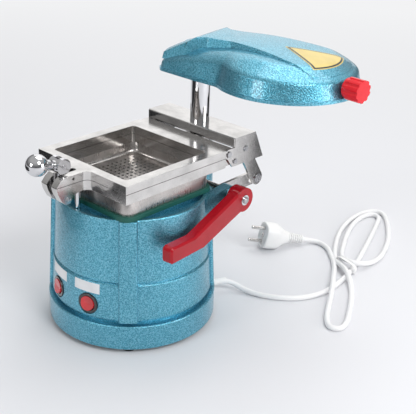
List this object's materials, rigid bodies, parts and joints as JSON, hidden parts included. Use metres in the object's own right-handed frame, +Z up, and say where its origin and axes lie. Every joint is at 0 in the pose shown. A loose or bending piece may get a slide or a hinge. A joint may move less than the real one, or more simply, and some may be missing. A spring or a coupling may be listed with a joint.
{
  "type": "dental vacuum former",
  "caption": "Dental vacuum former: round teal casting with suction table, lever-lifted sheet frame and swinging heater head on one column.",
  "frame": {"origin": "on the bench, on the vertical axis of the round base casting", "axes": "+Z up, front with the two switches to -Y, hand lever to +X"},
  "size_m": [0.3049, 0.5888, 0.326],
  "materials": {
    "hammertone_casting": "semi-gloss hammertone enamel over cast aluminium",
    "black_steel": "satin black",
    "black_rubber": "matte",
    "zinc_steel": "bright zinc",
    "green_silicone": "matte moulded silicone",
    "satin_stainless": "satin",
    "motor_steel": "dark grey",
    "chrome_plate": "polished",
    "nickel_plate": "satin nickel",
    "bronze_bush": "plain bearing bronze",
    "black_plastic": "moulded black",
    "white_plastic": "moulded white",
    "white_cord": "white sheath",
    "red_enamel": "gloss enamel",
    "red_plastic": "gloss moulding",
    "translucent_red": "translucent lamp rocker",
    "dark_element": "oxidised heating ribbon",
    "ceramic_white": "unglazed ceramic",
    "cast_fan": "as cast"
  },
  "bodies": {
    "base": {"base_shell": "hammertone_casting", "base_plate": "black_steel", "rubber_feet": "black_rubber", "foot_screws": "zinc_steel", "base_plate_screws": "zinc_steel", "table_gasket": "green_silicone", "forming_tray": "satin_stainless", "intake_seal": "black_rubber", "blower_casing": "zinc_steel", "vacuum_motor": "motor_steel", "motor_isolator": "black_rubber", "column": "chrome_plate", "column_set_screw": "zinc_steel", "front_rest_pin": "chrome_plate", "shaft_bushes": "bronze_bush", "switch_bezel_left": "black_plastic", "switch_bezel_right": "black_plastic", "cord_gland": "white_plastic", "power_cord": "white_cord", "plug_cord": "white_cord", "cord_hank": "white_cord", "hank_tie": "white_plastic", "plug_body": "white_plastic", "plug_pins": "nickel_plate", "head_stop_ring": "chrome_plate"},
    "lever": {"lever_shaft": "nickel_plate", "shaft_spacers": "nickel_plate", "lift_lever": "red_enamel", "lever_washer": "zinc_steel", "lever_screw": "zinc_steel", "crank_arms": "nickel_plate"},
    "links": {"crank_pins": "zinc_steel", "link_right": "nickel_plate", "link_left": "nickel_plate"},
    "carriage": {"carriage_bracket": "nickel_plate", "carriage_sleeve": "nickel_plate", "lower_frame": "nickel_plate", "hinge_pivot_screws": "zinc_steel", "frame_fixing_screws": "zinc_steel", "link_rivets": "zinc_steel", "latch_pivot_pin": "zinc_steel"},
    "upper_frame": {"upper_frame": "nickel_plate"},
    "latch_bolt": {"latch_eye_bolt": "zinc_steel", "latch_cam_pin": "zinc_steel"},
    "latch_lever": {"latch_cam_lever": "chrome_plate", "ball_knob": "chrome_plate"},
    "head": {"head_shell": "hammertone_casting", "head_cover": "black_steel", "head_cover_screws": "zinc_steel", "heater_reflector": "satin_stainless", "heater_element": "dark_element", "element_carrier": "ceramic_white", "terminal_block": "ceramic_white", "grip_knob": "red_plastic", "grip_stud": "zinc_steel"},
    "rocker_left": {"rocker_left": "translucent_red"},
    "rocker_right": {"rocker_right": "translucent_red"},
    "impeller": {"blower_impeller": "cast_fan", "motor_shaft": "zinc_steel"}
  },
  "joints": [
    {"name": "carriage_lift", "type": "slide", "parent": "base", "child": "carriage", "axis": [0, 0, 1], "range_m": [0, 0.055]},
    {"name": "lever_turn", "type": "hinge", "parent": "base", "child": "lever", "pos_m": [0, 0.0807, 0.1486], "axis": [1, 0, 0], "range_deg": [0, 57.1]},
    {"name": "link_swing", "type": "hinge", "parent": "carriage", "child": "links", "pos_m": [0, 0.1098, 0.1952], "axis": [-1, 0, 0], "range_deg": [0, 31.2]},
    {"name": "upper_frame_open", "type": "hinge", "parent": "carriage", "child": "upper_frame", "pos_m": [0, 0.0817, 0.1946], "axis": [-1, 0, 0], "range_deg": [0, 60]},
    {"name": "latch_swing", "type": "hinge", "parent": "carriage", "child": "latch_bolt", "pos_m": [0, -0.099, 0.1765], "axis": [1, 0, 0], "range_deg": [0, 75]},
    {"name": "latch_lever_turn", "type": "hinge", "parent": "latch_bolt", "child": "latch_lever", "pos_m": [0, -0.099, 0.2104], "axis": [-1, 0, 0], "range_deg": [0, 90]},
    {"name": "head_swing", "type": "hinge", "parent": "base", "child": "head", "pos_m": [0, 0.107, 0.3], "axis": [0, 0, 1], "range_deg": [-101, 79]},
    {"name": "rocker_left_press", "type": "hinge", "parent": "base", "child": "rocker_left", "pos_m": [-0.02434, -0.08489, 0.054], "axis": [0.9613, -0.2756, 0], "range_deg": [0, 16]},
    {"name": "rocker_right_press", "type": "hinge", "parent": "base", "child": "rocker_right", "pos_m": [0.02434, -0.08489, 0.054], "axis": [0.9613, 0.2756, 0], "range_deg": [0, 16]},
    {"name": "impeller_spin", "type": "hinge", "parent": "base", "child": "impeller", "pos_m": [0, -0.002, 0.1], "axis": [0, 0, 1], "continuous": true}
  ],
  "couplings": [
    {"joint": "lever_turn", "follows": "carriage_lift", "rad_per_m": 18.093},
    {"joint": "link_swing", "follows": "carriage_lift", "rad_per_m": 9.8822}
  ]
}
